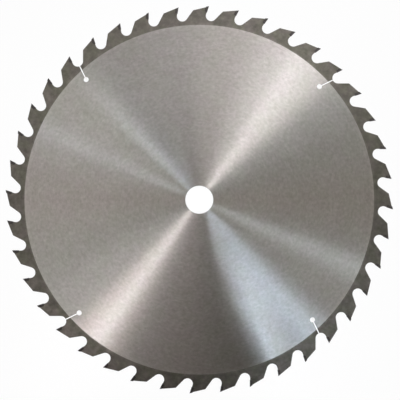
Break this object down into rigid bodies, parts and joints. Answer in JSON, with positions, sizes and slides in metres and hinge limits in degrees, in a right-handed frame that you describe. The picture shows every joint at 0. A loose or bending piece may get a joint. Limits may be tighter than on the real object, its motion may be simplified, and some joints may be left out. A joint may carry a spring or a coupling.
{
  "type": "circular saw blade",
  "caption": "Flat circular saw blade: a toothed steel plate with brazed carbide tips, keyhole expansion slots and a round arbor bore.",
  "frame": {"origin": "centre of the arbor bore, at half the thickness of the plate", "axes": "+Z along the bore; +Y through the cutting edge of tooth 1; seen from +Z the teeth point clockwise"},
  "size_m": [0.35, 0.35, 0.0036],
  "materials": {
    "tool_steel": "ground with a circular grain, and blasted matt and darker on the toothed rim",
    "carbide": "fine ground, dark grey",
    "silver_solder": "satin, slightly stained"
  },
  "bodies": {
    "root": {"blade_plate": "tool_steel", "tip_01": "carbide", "tip_02": "carbide", "tip_03": "carbide", "tip_04": "carbide", "tip_05": "carbide", "tip_06": "carbide", "tip_07": "carbide", "tip_08": "carbide", "tip_09": "carbide", "tip_10": "carbide", "tip_11": "carbide", "tip_12": "carbide", "tip_13": "carbide", "tip_14": "carbide", "tip_15": "carbide", "tip_16": "carbide", "tip_17": "carbide", "tip_18": "carbide", "tip_19": "carbide", "tip_20": "carbide", "tip_21": "carbide", "tip_22": "carbide", "tip_23": "carbide", "tip_24": "carbide", "tip_25": "carbide", "tip_26": "carbide", "tip_27": "carbide", "tip_28": "carbide", "tip_29": "carbide", "tip_30": "carbide", "tip_31": "carbide", "tip_32": "carbide", "tip_33": "carbide", "tip_34": "carbide", "tip_35": "carbide", "tip_36": "carbide", "tip_37": "carbide", "tip_38": "carbide", "tip_39": "carbide", "tip_40": "carbide", "braze_joints": "silver_solder"}
  },
  "joints": []
}
